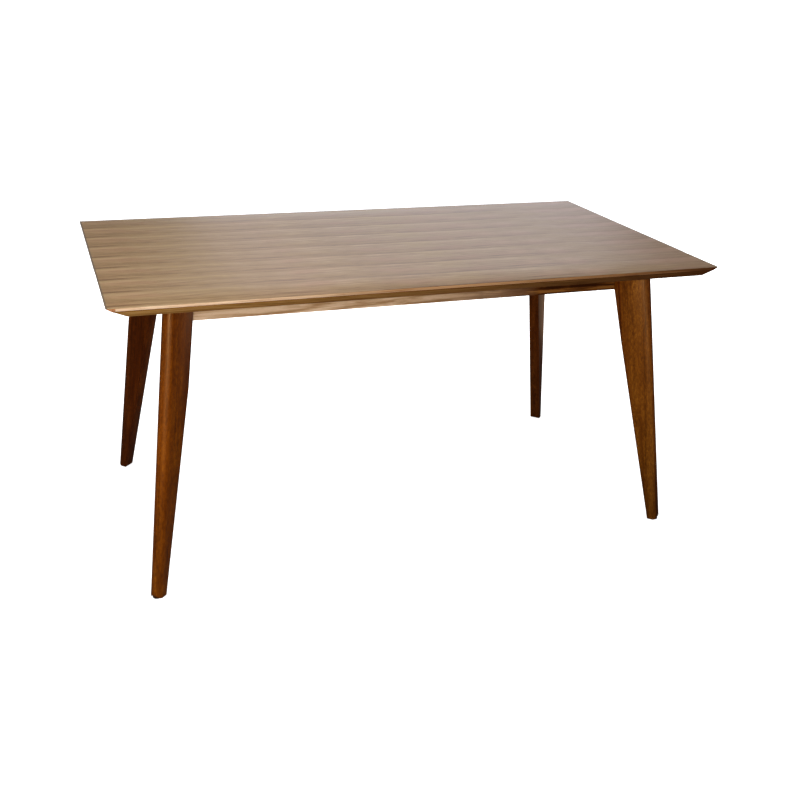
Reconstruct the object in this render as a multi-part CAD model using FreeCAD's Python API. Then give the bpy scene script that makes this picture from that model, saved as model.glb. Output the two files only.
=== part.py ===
import FreeCAD, Part
import math
import os

# Driving sizes of the table, in mm
top_length = 1560.0
top_width = 850.0
table_height = 760.0
top_thickness = 22.0

# Layers and edge profile of the tabletop
veneer_thickness = 1.0
upper_board_thickness = 7.0
leaf_count = 8
lip_height = 3.0
end_bevel_inset = 45.0
front_bevel_inset = 4.0
end_lipping_width = 21.0
front_lipping_width = 12.0
end_strip_reach = 95.0
front_strip_reach = 50.0

# Frame under the top
leg_inset_length = 202.0
leg_inset_width = 169.0
apron_height = 73.0
apron_thickness = 22.0

# Leg, a plank that stands on the diagonal of its corner
leg_thickness = 33.0
leg_head_depth = 88.0
leg_splay = 115.0
leg_foot_depth = 30.5
leg_tongue_thickness = 16.0
leg_wedge_length = 18.0
foot_edge_round = 3.0

# Corner blocks and the bolts that hold the legs
block_side = 60.0
block_height = 60.0
block_drop = 5.0
bolt_diameter = 8.0
bolt_spacing = 30.0
bolt_bite = 45.0
bolt_hole_diameter = 9.0
washer_diameter = 22.0
washer_thickness = 1.6
nut_across_flats = 13.0
nut_thickness = 6.5
bolt_tail = 4.0
nut_sides = 6

# Screws that hold the blocks to the aprons
screw_diameter = 4.5
screw_head_diameter = 8.4
screw_head_height = 2.5
screw_length = 30.0
screw_grip = 15.0
screw_offset = 35.0
counterbore_diameter = 10.0

# Cross rail between the long aprons
rail_height = 60.0
rail_thickness = 22.0
tenon_thickness = 10.0
tenon_height = 40.0
tenon_length = 12.0

# Buttons that hold the top down
button_length = 40.0
button_depth = 30.0
button_height = 18.0
button_tongue_height = 8.0
button_tongue_depth = 8.0
button_slot_slack = 0.5
button_place_shares = (0.22, 0.66)
button_screw_diameter = 4.0
button_screw_head_diameter = 8.0
button_screw_head_height = 2.4
button_screw_length = 29.0

# Glides under the feet
glide_diameter = 22.0
glide_thickness = 3.0
glide_recess = 2.0

# Fits
clearance = 0.3
overrun = 5.0

os.makedirs("parts", exist_ok=True)

half_length = top_length / 2
half_width = top_width / 2
z_veneer = table_height - veneer_thickness
z_split = z_veneer - upper_board_thickness
z_lip = table_height - lip_height
z_under = table_height - top_thickness
z_core = z_under + veneer_thickness
z_apron = z_under - apron_height
z_foot = glide_thickness - glide_recess
corner_x = half_length - leg_inset_length
corner_y = half_width - leg_inset_width
origin = FreeCAD.Vector(0, 0, 0)
across = FreeCAD.Vector(1, 0, 0)
along = FreeCAD.Vector(0, 1, 0)
up = FreeCAD.Vector(0, 0, 1)
corners = {"front_left": (-1, -1), "front_right": (1, -1), "back_left": (-1, 1), "back_right": (1, 1)}


def box(x0, x1, y0, y1, z0, z1):
    return Part.makeBox(x1 - x0, y1 - y0, z1 - z0, FreeCAD.Vector(x0, y0, z0))


def prism(points, reach):
    wire = Part.makePolygon([FreeCAD.Vector(*point) for point in points + points[:1]])
    return Part.Face(wire).extrude(reach)


def put_in_corner(shape, side_x, side_y):
    # A shape made for the corner at +X +Y, mirrored into one of the four
    placed = shape.copy()
    if side_x < 0:
        placed = placed.mirror(origin, across)
    if side_y < 0:
        placed = placed.mirror(origin, along)
    return placed


def on_diagonal(shape):
    # Local X runs outwards along the diagonal from the leg's inner edge
    placed = shape.copy()
    placed.rotate(origin, up, math.degrees(math.pi / 4))
    placed.translate(FreeCAD.Vector(corner_x, corner_y, 0))
    return placed


def save(name, shapes):
    shape = shapes[0] if len(shapes) == 1 else Part.makeCompound(shapes)
    if not shape.isValid() or len(shape.Solids) != len(shapes):
        raise ValueError(name + " is not sound")
    shape.exportStep("parts/" + name + ".step")
    print(name, len(shape.Solids), round(shape.Volume))


def bevel_x(z):
    # Half length of the top at height z on the bevel under its ends
    return half_length - end_bevel_inset * (z_lip - z) / (z_lip - z_under)


# Leg: an oblique plank with a half-round outer edge, cut back along its inner edge under the aprons
half_leg = leg_thickness / 2
half_tongue = leg_tongue_thickness / 2
tongue_length = apron_thickness * math.sqrt(2)
nose_head = leg_head_depth - half_leg
nose_foot = leg_head_depth + leg_splay
inner_foot = nose_foot - leg_foot_depth
start = -leg_splay - tongue_length
plank_outline = Part.Wire([
    Part.makeLine(FreeCAD.Vector(start, -half_leg, z_under), FreeCAD.Vector(nose_head, -half_leg, z_under)),
    Part.Arc(FreeCAD.Vector(nose_head, -half_leg, z_under), FreeCAD.Vector(leg_head_depth, 0, z_under),
             FreeCAD.Vector(nose_head, half_leg, z_under)).toShape(),
    Part.makeLine(FreeCAD.Vector(nose_head, half_leg, z_under), FreeCAD.Vector(start, half_leg, z_under)),
    Part.makeLine(FreeCAD.Vector(start, half_leg, z_under), FreeCAD.Vector(start, -half_leg, z_under)),
])
plank = Part.Face(plank_outline).extrude(FreeCAD.Vector(leg_splay, 0, z_foot - z_under))
side_view = prism([
    (-tongue_length, -leg_thickness, z_under),
    (-tongue_length, -leg_thickness, z_apron),
    (0, -leg_thickness, z_apron),
    (inner_foot, -leg_thickness, z_foot),
    (nose_foot + overrun, -leg_thickness, z_foot),
    (nose_foot + overrun, -leg_thickness, z_under),
], FreeCAD.Vector(0, leg_thickness * 2, 0))
leg = plank.common(side_view)
for side in (-1, 1):
    cheek = prism([
        (leg_wedge_length, side * half_leg, z_foot - overrun),
        (0, side * half_tongue, z_foot - overrun),
        (start, side * half_tongue, z_foot - overrun),
        (start, side * (half_leg + overrun), z_foot - overrun),
        (leg_wedge_length, side * (half_leg + overrun), z_foot - overrun),
    ], FreeCAD.Vector(0, 0, table_height))
    leg = leg.cut(cheek)
foot_edges = [edge for edge in leg.Edges if edge.BoundBox.ZMax < z_foot + clearance]
leg = leg.makeFillet(foot_edge_round, foot_edges)

foot_middle = nose_foot - leg_foot_depth / 2
recess = Part.makeCylinder(glide_diameter / 2 + clearance, glide_recess + overrun,
                           FreeCAD.Vector(foot_middle, 0, z_foot - overrun))
leg = leg.cut(recess)
glide = Part.makeCylinder(glide_diameter / 2, glide_thickness, FreeCAD.Vector(foot_middle, 0, 0))

# Corner block, a triangular block that fills the inside corner of the aprons and meets the leg's tongue
block_depth = block_side / math.sqrt(2)
block_face = -tongue_length - block_depth
z_block_top = z_under - block_drop
z_block = z_block_top - block_height
block = prism([
    (-tongue_length, -half_tongue, z_block),
    (-tongue_length, half_tongue, z_block),
    (block_face, half_tongue + block_depth, z_block),
    (block_face, -half_tongue - block_depth, z_block),
], FreeCAD.Vector(0, 0, block_height))

# Bolts through the blocks into the legs, with their washers and nuts
bolts = []
washers = []
nuts = []
for level in (-1, 1):
    z_bolt = z_block + block_height / 2 + level * bolt_spacing / 2
    seat = FreeCAD.Vector(block_face, 0, z_bolt)
    washer_face = block_face - washer_thickness
    nut_face = washer_face - nut_thickness
    bolt_end = nut_face - bolt_tail
    bolt = Part.makeCylinder(bolt_diameter / 2, bolt_bite - bolt_end, FreeCAD.Vector(bolt_end, 0, z_bolt), across)
    passage = Part.makeCylinder(bolt_hole_diameter / 2, block_depth + overrun,
                                FreeCAD.Vector(block_face - overrun, 0, z_bolt), across)
    thread = Part.makeCylinder(bolt_diameter / 2 + clearance, bolt_bite + tongue_length + overrun,
                               FreeCAD.Vector(-tongue_length - overrun, 0, z_bolt), across)
    block = block.cut(passage)
    leg = leg.cut(thread)
    washer = Part.makeCylinder(washer_diameter / 2, washer_thickness, FreeCAD.Vector(washer_face, 0, z_bolt), across)
    nut_radius = nut_across_flats / 2 / math.cos(math.pi / nut_sides)
    nut_points = []
    for number in range(nut_sides):
        angle = math.tau * number / nut_sides
        nut_points.append((nut_face, nut_radius * math.cos(angle), z_bolt + nut_radius * math.sin(angle)))
    nut = prism(nut_points, FreeCAD.Vector(nut_thickness, 0, 0))
    bore = Part.makeCylinder(bolt_diameter / 2 + clearance, nut_thickness + washer_thickness + overrun * 2,
                             FreeCAD.Vector(nut_face - overrun, 0, z_bolt), across)
    bolts.append(bolt)
    washers.append(washer.cut(bore))
    nuts.append(nut.cut(bore))

leg = on_diagonal(leg)
glide = on_diagonal(glide)
block = on_diagonal(block)
bolts = [on_diagonal(bolt) for bolt in bolts]
washers = [on_diagonal(washer) for washer in washers]
nuts = [on_diagonal(nut) for nut in nuts]

# Aprons, with ends cut along the diagonals so that they lie against the tongues of the legs
tongue_offset = half_tongue / math.sqrt(2)
long_face = corner_y + tongue_offset
long_end = corner_x - tongue_offset
end_face = corner_x + tongue_offset
end_end = corner_y - tongue_offset
apron_reach = FreeCAD.Vector(0, 0, apron_height)
long_apron = prism([
    (-long_end, long_face, z_apron),
    (long_end, long_face, z_apron),
    (long_end - apron_thickness, long_face - apron_thickness, z_apron),
    (apron_thickness - long_end, long_face - apron_thickness, z_apron),
], apron_reach)
end_apron = prism([
    (end_face, -end_end, z_apron),
    (end_face, end_end, z_apron),
    (end_face - apron_thickness, end_end - apron_thickness, z_apron),
    (end_face - apron_thickness, apron_thickness - end_end, z_apron),
], apron_reach)
long_inside = long_face - apron_thickness
end_inside = end_face - apron_thickness

# Screws of the blocks, one into each apron, with their heads at the bottom of a counterbore
z_screw = z_block + block_height / 2


def block_screw(base, direction):
    # A screw whose head seats screw_grip away from the apron's inner face
    seat = base - direction * screw_grip
    head_start = seat - direction * screw_head_height
    head = Part.makeCone(screw_head_diameter / 2, screw_diameter / 2, screw_head_height, head_start, direction)
    shank = Part.makeCylinder(screw_diameter / 2, screw_length - screw_head_height, seat, direction)
    return head.fuse(shank).removeSplitter()


def block_screw_hole(base, direction):
    seat = base - direction * screw_grip
    head_start = seat - direction * screw_head_height
    shank = Part.makeCylinder(screw_diameter / 2 + clearance, screw_length - screw_head_height + clearance,
                              seat, direction)
    sink = Part.makeCone(screw_head_diameter / 2 + clearance, screw_diameter / 2 + clearance,
                         screw_head_height, head_start, direction)
    bore = Part.makeCylinder(counterbore_diameter / 2, block_side, head_start - direction * block_side, direction)
    return shank.fuse(sink).fuse(bore)


long_base = FreeCAD.Vector(long_end - apron_thickness - screw_offset, long_inside, z_screw)
end_base = FreeCAD.Vector(end_inside, end_end - apron_thickness - screw_offset, z_screw)
screws = [block_screw(long_base, along), block_screw(end_base, across)]
for base, direction in ((long_base, along), (end_base, across)):
    block = block.cut(block_screw_hole(base, direction))
for side in (-1, 1):
    hole = block_screw_hole(FreeCAD.Vector(side * long_base.x, long_base.y, long_base.z), along)
    long_apron = long_apron.cut(hole)
    hole = block_screw_hole(FreeCAD.Vector(end_base.x, side * end_base.y, end_base.z), across)
    end_apron = end_apron.cut(hole)

# Cross rail, with a stub tenon in each long apron
z_rail = z_under - rail_height
z_tenon = z_rail + (rail_height - tenon_height) / 2
rail = box(-rail_thickness / 2, rail_thickness / 2, -long_inside, long_inside, z_rail, z_under)
tenon = box(-tenon_thickness / 2, tenon_thickness / 2, -long_inside - tenon_length, long_inside + tenon_length,
            z_tenon, z_tenon + tenon_height)
rail = rail.fuse(tenon).removeSplitter()
long_apron = long_apron.cut(tenon)

# Buttons: each has a tongue in a slot of its apron and a screw up into the top
z_button = z_under - button_height
z_tongue_top = z_button + button_tongue_height


def button_at(base, turn):
    # Made against the inside of an apron that faces -Y, then turned about the vertical and moved to its place
    body = box(-button_length / 2, button_length / 2, -button_depth, 0, z_button, z_under)
    tongue = box(-button_length / 2, button_length / 2, 0, button_tongue_depth, z_button, z_tongue_top)
    slot = box(-button_length / 2 - button_slot_slack, button_length / 2 + button_slot_slack,
               0, button_tongue_depth + button_slot_slack, z_button - button_slot_slack, z_tongue_top)
    centre = FreeCAD.Vector(0, -button_depth / 2, z_button)
    z_seat = z_button + button_screw_head_height
    seat = FreeCAD.Vector(0, -button_depth / 2, z_seat)
    head = Part.makeCone(button_screw_head_diameter / 2, button_screw_diameter / 2, button_screw_head_height, centre)
    shank = Part.makeCylinder(button_screw_diameter / 2, button_screw_length - button_screw_head_height, seat)
    sink = Part.makeCone(button_screw_head_diameter / 2 + clearance, button_screw_diameter / 2 + clearance,
                         button_screw_head_height, centre)
    hole = Part.makeCylinder(button_screw_diameter / 2 + clearance,
                             button_screw_length - button_screw_head_height + clearance, seat)
    shapes = {
        "button": body.fuse(tongue).removeSplitter().cut(sink.fuse(hole)),
        "screw": head.fuse(shank).removeSplitter(),
        "slot": slot,
        "hole": hole,
    }
    for shape in shapes.values():
        shape.rotate(origin, up, turn)
        shape.translate(base)
    return shapes


fixings = {"front": [], "back": [], "left": [], "right": []}
for share in button_place_shares:
    for side in (-1, 1):
        place = FreeCAD.Vector(side * share * long_end, long_inside, 0)
        fixings["back"].append(button_at(place, 0))
        place = FreeCAD.Vector(side * share * long_end, -long_inside, 0)
        fixings["front"].append(button_at(place, math.degrees(math.pi)))
fixings["right"].append(button_at(FreeCAD.Vector(end_inside, 0, 0), math.degrees(-math.pi / 2)))
fixings["left"].append(button_at(FreeCAD.Vector(-end_inside, 0, 0), math.degrees(math.pi / 2)))
aprons = {
    "back": long_apron,
    "front": long_apron.mirror(origin, along),
    "right": end_apron,
    "left": end_apron.mirror(origin, across),
}
all_fixings = []
for name, apron in aprons.items():
    for fixing in fixings[name]:
        apron = apron.cut(fixing["slot"])
        all_fixings.append(fixing)
    save("apron_" + name, [apron])

save("cross_rail", [rail])
save("top_buttons", [fixing["button"] for fixing in all_fixings])
save("button_screws", [fixing["screw"] for fixing in all_fixings])

# Legs, blocks and their fixings in the four corners
groups = {"leg_bolts": bolts, "bolt_washers": washers, "bolt_nuts": nuts, "block_screws": screws, "foot_glides": [glide]}
for name, (side_x, side_y) in corners.items():
    save("leg_" + name, [put_in_corner(leg, side_x, side_y)])
    save("corner_block_" + name, [put_in_corner(block, side_x, side_y)])
for name, shapes in groups.items():
    placed = []
    for side_x, side_y in corners.values():
        for shape in shapes:
            placed.append(put_in_corner(shape, side_x, side_y))
    save(name, placed)

# Tabletop face: veneer leaves side by side, numbered from the front
leaf_width = top_width / leaf_count
for number in range(leaf_count):
    y_leaf = number * leaf_width - half_width
    leaf = box(-half_length, half_length, y_leaf, y_leaf + leaf_width, z_veneer, table_height)
    save("veneer_leaf_" + str(number + 1), [leaf])

# Upper layer: pale lippings round a core board, the end lippings running through
end_core = half_length - end_lipping_width
front_core = half_width - front_lipping_width
end_lipping = prism([
    (end_core, -half_width, z_split),
    (bevel_x(z_split), -half_width, z_split),
    (half_length, -half_width, z_lip),
    (half_length, -half_width, z_veneer),
    (end_core, -half_width, z_veneer),
], FreeCAD.Vector(0, top_width, 0))
front_lipping = box(-end_core, end_core, -half_width, -front_core, z_split, z_veneer)
save("edge_lipping_right", [end_lipping])
save("edge_lipping_left", [end_lipping.mirror(origin, across)])
save("edge_lipping_front", [front_lipping])
save("edge_lipping_back", [front_lipping.mirror(origin, along)])
save("upper_core_board", [box(-end_core, end_core, -front_core, front_core, z_split, z_veneer)])

# Lower layer: darker bevelled strips round a second core board, the front and back strips running through
end_inner = half_length - end_strip_reach
front_inner = half_width - front_strip_reach
side_profile = prism([
    (-bevel_x(z_under), -half_width, z_under),
    (bevel_x(z_under), -half_width, z_under),
    (bevel_x(z_split), -half_width, z_split),
    (-bevel_x(z_split), -half_width, z_split),
], FreeCAD.Vector(0, top_width, 0))
front_strip = prism([
    (-half_length, -front_inner, z_under),
    (-half_length, front_bevel_inset - half_width, z_under),
    (-half_length, -half_width, z_split),
    (-half_length, -front_inner, z_split),
], FreeCAD.Vector(top_length, 0, 0)).common(side_profile)
end_strip = prism([
    (end_inner, -front_inner, z_under),
    (bevel_x(z_under), -front_inner, z_under),
    (bevel_x(z_split), -front_inner, z_split),
    (end_inner, -front_inner, z_split),
], FreeCAD.Vector(0, front_inner * 2, 0))
save("edge_strip_front", [front_strip])
save("edge_strip_back", [front_strip.mirror(origin, along)])
save("edge_strip_right", [end_strip])
save("edge_strip_left", [end_strip.mirror(origin, across)])
lower_core = box(-end_inner, end_inner, -front_inner, front_inner, z_core, z_split)
underside = box(-end_inner, end_inner, -front_inner, front_inner, z_under, z_core)
for fixing in all_fixings:
    lower_core = lower_core.cut(fixing["hole"])
    underside = underside.cut(fixing["hole"])
save("lower_core_board", [lower_core])
save("underside_veneer", [underside])
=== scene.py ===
import math

import bpy
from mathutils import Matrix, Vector


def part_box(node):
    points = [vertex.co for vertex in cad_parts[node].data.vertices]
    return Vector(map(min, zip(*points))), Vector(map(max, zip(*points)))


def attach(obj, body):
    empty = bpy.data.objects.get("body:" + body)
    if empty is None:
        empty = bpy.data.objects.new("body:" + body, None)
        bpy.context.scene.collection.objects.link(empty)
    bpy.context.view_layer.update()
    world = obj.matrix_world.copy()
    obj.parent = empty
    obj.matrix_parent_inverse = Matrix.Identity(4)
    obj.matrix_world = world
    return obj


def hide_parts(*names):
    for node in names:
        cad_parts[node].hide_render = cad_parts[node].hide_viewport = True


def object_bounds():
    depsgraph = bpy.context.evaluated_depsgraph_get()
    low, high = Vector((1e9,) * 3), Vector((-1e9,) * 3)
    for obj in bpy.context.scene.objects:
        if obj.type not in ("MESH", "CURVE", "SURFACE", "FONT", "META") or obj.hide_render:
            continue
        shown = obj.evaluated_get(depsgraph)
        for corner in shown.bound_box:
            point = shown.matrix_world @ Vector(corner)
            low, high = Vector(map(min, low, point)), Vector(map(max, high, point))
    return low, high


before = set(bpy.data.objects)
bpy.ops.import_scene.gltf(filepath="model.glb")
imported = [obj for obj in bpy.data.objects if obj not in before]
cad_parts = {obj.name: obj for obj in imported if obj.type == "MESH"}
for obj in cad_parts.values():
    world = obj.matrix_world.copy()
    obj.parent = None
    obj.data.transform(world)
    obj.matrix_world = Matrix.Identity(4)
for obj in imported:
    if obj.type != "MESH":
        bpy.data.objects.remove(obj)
cad_low, cad_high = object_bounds()

# Legs: four hardwood planks that stand on the diagonals of their corners, stained red-brown and lacquered.
# The outer edge is rounded over in full. The inner edge is thinned in a wedge, and cut back in a straight
# taper below the aprons. A tongue runs in between the mitred ends of the aprons.
plank_thickness = 0.033
plank_head = 0.088
plank_splay = 0.115
foot_depth = 0.0305
tongue_thickness = 0.016
wedge_length = 0.016
arris = 0.0014
foot_round = 0.003
smooth_angle = 35
apron_thickness = 0.022
leg_low, leg_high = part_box("leg_back_right")
apron_low, apron_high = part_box("apron_back")
leg_top = leg_high.z
leg_bottom = leg_low.z
apron_bottom = apron_low.z
tongue_offset = tongue_thickness / 2 / math.sqrt(2)
corner_x = apron_high.x + tongue_offset
corner_y = apron_high.y - tongue_offset
tongue_length = apron_thickness * math.sqrt(2)
corners = {"front_left": (-1, -1), "front_right": (1, -1), "back_left": (-1, 1), "back_right": (1, 1)}


def only(piece):
    bpy.ops.object.select_all(action="DESELECT")
    piece.select_set(True)
    bpy.context.view_layer.objects.active = piece


def sawn(name, low, high):
    # A squared piece of wood between two corners
    bpy.ops.object.select_all(action="DESELECT")
    centre = (Vector(low) + Vector(high)) / 2
    bpy.ops.mesh.primitive_cube_add(size=1, location=centre)
    piece = bpy.context.object
    piece.name = name
    piece.scale = Vector(high) - Vector(low)
    bpy.ops.object.transform_apply(location=True, rotation=True, scale=True)
    return piece


def trimmed(piece, point, outwards):
    # Cuts away what lies outwards of a plane and closes the cut
    only(piece)
    bpy.ops.object.mode_set(mode="EDIT")
    bpy.ops.mesh.select_all(action="SELECT")
    bpy.ops.mesh.bisect(plane_co=point, plane_no=outwards, use_fill=True, clear_outer=True)
    bpy.ops.object.mode_set(mode="OBJECT")
    return piece


def eased(piece, width, segments=3, angle=20):
    # Takes the sharp arrises off
    only(piece)
    bpy.ops.object.modifier_add(type="BEVEL")
    bevel = piece.modifiers[-1]
    bevel.width = width
    bevel.segments = segments
    bevel.limit_method = "ANGLE"
    bevel.angle_limit = math.radians(angle)
    bpy.ops.object.modifier_apply(modifier=bevel.name)
    bpy.ops.object.shade_smooth_by_angle(angle=math.radians(smooth_angle))
    return piece


def shifted(piece, wanted, move):
    # Moves the corners that pass the wanted test
    only(piece)
    bpy.ops.object.mode_set(mode="EDIT")
    bpy.ops.mesh.select_mode(type="VERT")
    bpy.ops.mesh.select_all(action="DESELECT")
    bpy.ops.object.mode_set(mode="OBJECT")
    for vertex in piece.data.vertices:
        vertex.select = wanted(vertex.co)
    bpy.ops.object.mode_set(mode="EDIT")
    bpy.ops.transform.translate(value=move)
    bpy.ops.object.mode_set(mode="OBJECT")
    return piece


def round_edges(piece, wanted, width, segments):
    # Rounds the edges whose two ends both pass the wanted test
    only(piece)
    bpy.ops.object.mode_set(mode="EDIT")
    bpy.ops.mesh.select_mode(type="EDGE")
    bpy.ops.mesh.select_all(action="DESELECT")
    bpy.ops.object.mode_set(mode="OBJECT")
    for edge in piece.data.edges:
        edge.select = all(wanted(piece.data.vertices[number].co) for number in edge.vertices)
    bpy.ops.object.mode_set(mode="EDIT")
    bpy.ops.mesh.bevel(offset=width, segments=segments, profile=0.5, affect="EDGES", clamp_overlap=True)
    bpy.ops.object.mode_set(mode="OBJECT")
    return piece


def noted(piece, name, measure):
    # Writes three measures of each point into the mesh, for the finish to read
    notes = piece.data.attributes.new(name, "FLOAT_VECTOR", "POINT")
    for note, vertex in zip(notes.data, piece.data.vertices):
        note.vector = measure(vertex.co)
    return piece


def marked(piece, along, across, through, shift=(0, 0, 0)):
    # Notes where each point lies in the board that the piece was cut from: along, across and through it
    axes = [Vector(axis).normalized() for axis in (along, across, through)]
    return noted(piece, "grain", lambda point: [point.dot(axis) + move for axis, move in zip(axes, shift)])


def fitted(piece, material, slot, *nodes):
    # Gives a piece its finish and puts it in the place of its CAD nodes
    piece.data.materials.clear()
    piece.data.materials.append(material)
    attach(piece, "root")
    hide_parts(*nodes)
    return piece


def wired(tree, kind, values=None, **settings):
    # Adds one shader node. A value that is another node's socket is linked, any other is set
    node = tree.nodes.new("ShaderNode" + kind)
    for name, setting in settings.items():
        setattr(node, name, setting)
    for name, value in (values or {}).items():
        if isinstance(value, bpy.types.NodeSocket):
            tree.links.new(value, node.inputs[name])
        else:
            node.inputs[name].default_value = value
    return node


def sums(tree, operation, first, second=0.0, third=0.0, clamp=False):
    numbers = {0: first, 1: second, 2: third}
    return wired(tree, "Math", numbers, operation=operation, use_clamp=clamp).outputs[0]


def near(tree, distance, width, peak=1.0):
    # One at no distance, and fading to nothing over the width; a peak above one keeps it full for longer
    return sums(tree, "MULTIPLY_ADD", distance, -1 / width, peak, clamp=True)


def off_middle(tree, noise):
    # A noise that swings about nothing instead of about a half
    return sums(tree, "SUBTRACT", noise, 0.5)


def board_place(tree):
    # Where a point lies in the board that its piece was cut from
    return wired(tree, "Attribute", attribute_name="grain").outputs["Vector"]


def object_place(tree):
    return wired(tree, "TexCoord").outputs["Object"]


def split(tree, place):
    # The three parts of a place
    return wired(tree, "SeparateXYZ", {"Vector": place}).outputs


def tone_steps(tree, amount, steps):
    # A colour ramp through (place, colour) steps
    ramp = wired(tree, "ValToRGB", {"Fac": amount})
    band = ramp.color_ramp
    band.interpolation = "EASE"
    while len(band.elements) < len(steps):
        band.elements.new(0.5)
    for element, (place, colour) in zip(band.elements, steps):
        element.position = place
        element.color = (*colour, 1)
    return ramp.outputs["Color"]


def stretched_noise(tree, place, scales, detail=4.0, roughness=0.55, distortion=0.0, shift=(0, 0, 0)):
    spread = wired(tree, "Mapping", {"Vector": place, "Scale": scales, "Location": shift})
    noise = wired(tree, "TexNoise", {"Vector": spread.outputs["Vector"], "Scale": 1.0, "Detail": detail,
                                     "Roughness": roughness, "Distortion": distortion})
    return noise.outputs["Fac"]


def blended(tree, amount, first, second, mode="MIX"):
    mix = tree.nodes.new("ShaderNodeMix")
    mix.data_type = "RGBA"
    mix.blend_type = mode
    for socket, value in ((mix.inputs[0], amount), (mix.inputs[6], first), (mix.inputs[7], second)):
        if isinstance(value, bpy.types.NodeSocket):
            tree.links.new(value, socket)
        elif isinstance(value, (int, float)):
            socket.default_value = value
        else:
            socket.default_value = (*value, 1)
    return mix.outputs[2]


def tinted(tree, amount, colour, tint):
    return blended(tree, amount, colour, tint, "MULTIPLY")


def new_finish(name):
    material = bpy.data.materials.new(name)
    material.use_nodes = True
    tree = material.node_tree
    return material, tree, tree.nodes["Principled BSDF"]


def lacquered(tree, surface, colour, gloss, relief, relief_depth, specular=0.5, reflection=(1, 1, 1)):
    tree.links.new(colour, surface.inputs["Base Color"])
    tree.links.new(gloss, surface.inputs["Roughness"])
    surface.inputs["Specular IOR Level"].default_value = specular
    surface.inputs["Specular Tint"].default_value = (*reflection, 1)
    bump = wired(tree, "Bump", {"Height": relief, "Strength": 0.35, "Distance": relief_depth})
    tree.links.new(bump.outputs["Normal"], surface.inputs["Normal"])


# Leg finish: straight-grained hardwood with wide slow bands, dark streaks, fine pores and lighter flecks.
# Each plank has a tone of its own, partly from its board and partly painted shade: the back planks are
# darker, and each grows lighter or darker towards its foot. Dark lines of painted shade run along the wedge
# and the inner arris, the sawn taper is painted lighter, and the stain is darkened towards the feet as
# painted shade.
wedge_shade_width = 0.0026
inner_shade_width = 0.0045
taper_skin = 0.0012
leg_finish, tree, surface = new_finish("leg_stain")
place = board_place(tree)
shaded_plank_tone = wired(tree, "Attribute", attribute_name="shaded_plank_tone").outputs["Color"]
bands = stretched_noise(tree, place, (1.6, 34, 34), detail=3, distortion=0.5)
streaks = stretched_noise(tree, place, (2.6, 120, 120), detail=6, roughness=0.65)
clouds = stretched_noise(tree, place, (6.5, 24, 24), detail=4, roughness=0.6, distortion=0.9)
pores = stretched_noise(tree, place, (55, 1500, 1500), detail=2, roughness=0.5)
flecks = stretched_noise(tree, place, (100, 250, 250), detail=4, roughness=0.75)
stain = tone_steps(tree, bands, [(0.28, (0.11, 0.026, 0.0026)), (0.45, (0.17, 0.048, 0.0052)),
                                 (0.62, (0.205, 0.065, 0.0084)), (0.78, (0.145, 0.038, 0.004))])
streak_tint = tone_steps(tree, streaks, [(0.3, (0.45, 0.34, 0.28)), (0.5, (1, 1, 1)),
                                         (0.7, (1.25, 1.36, 1.45))])
stain = tinted(tree, 0.85, stain, streak_tint)
cloud_tint = tone_steps(tree, clouds, [(0.36, (0.74, 0.68, 0.6)), (0.5, (0.98, 0.97, 0.95)),
                                       (0.64, (1.24, 1.34, 1.6))])
stain = tinted(tree, 0.85, stain, cloud_tint)
fleck_tint = tone_steps(tree, flecks, [(0.38, (0.55, 0.46, 0.36)), (0.5, (0.96, 0.96, 0.96)),
                                       (0.62, (1.5, 1.7, 2))])
stain = tinted(tree, sums(tree, "MULTIPLY_ADD", bands, 1.6, -0.15, clamp=True), stain, fleck_tint)
pore_tint = tone_steps(tree, pores, [(0.3, (0.6, 0.52, 0.45)), (0.42, (1, 1, 1))])
stain = tinted(tree, 0.6, stain, pore_tint)
# Each plank's own tone, with painted shade in it
stain = tinted(tree, 1.0, stain, shaded_plank_tone)
# Painted shade: dark lines along the wedge's shoulder and along the inner arris
reach = split(tree, wired(tree, "Attribute", attribute_name="edge_reach").outputs["Vector"])
wedge_line = near(tree, sums(tree, "ABSOLUTE", reach["X"]), wedge_shade_width, 1.5)
on_face = sums(tree, "GREATER_THAN", sums(tree, "ABSOLUTE", reach["Z"]), plank_thickness / 2 - arris)
inner_line = sums(tree, "MULTIPLY", near(tree, reach["Y"], inner_shade_width), on_face)
off_taper = sums(tree, "GREATER_THAN", reach["Y"], taper_skin / 2)
painted_shade_lines = sums(tree, "MULTIPLY", sums(tree, "MAXIMUM", wedge_line, inner_line), off_taper)
stain = blended(tree, painted_shade_lines, stain, tinted(tree, 1.0, stain, (0.42, 0.24, 0.1)))
# Painted light: the sawn taper is lightened
taper_painted_light = near(tree, sums(tree, "ABSOLUTE", reach["Y"]), taper_skin, 1.5)
stain = blended(tree, taper_painted_light, stain, tinted(tree, 1.0, stain, (1.32, 1.45, 1.5)))
# Painted shade: the stain is darkened towards the foot
unshaded_share = sums(tree, "DIVIDE", split(tree, object_place(tree))["Z"], leg_top, clamp=True)
stain = blended(tree, unshaded_share, tinted(tree, 1.0, stain, (0.74, 0.79, 0.74)), stain)
gloss = sums(tree, "MULTIPLY_ADD", streaks, 0.14, 0.24)
relief = sums(tree, "ADD", sums(tree, "MULTIPLY", pores, 0.6), streaks)
lacquered(tree, surface, stain, gloss, relief, 0.0005, 0.6, (1, 0.53, 0.19))

plank_radius = plank_thickness / 2
nose_foot = plank_head + plank_splay
inner_foot = nose_foot - foot_depth
leg_run = Vector((plank_splay, 0, leg_bottom - leg_top)).normalized()
leg_across = Vector((-leg_run.z, 0, leg_run.x))


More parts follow.
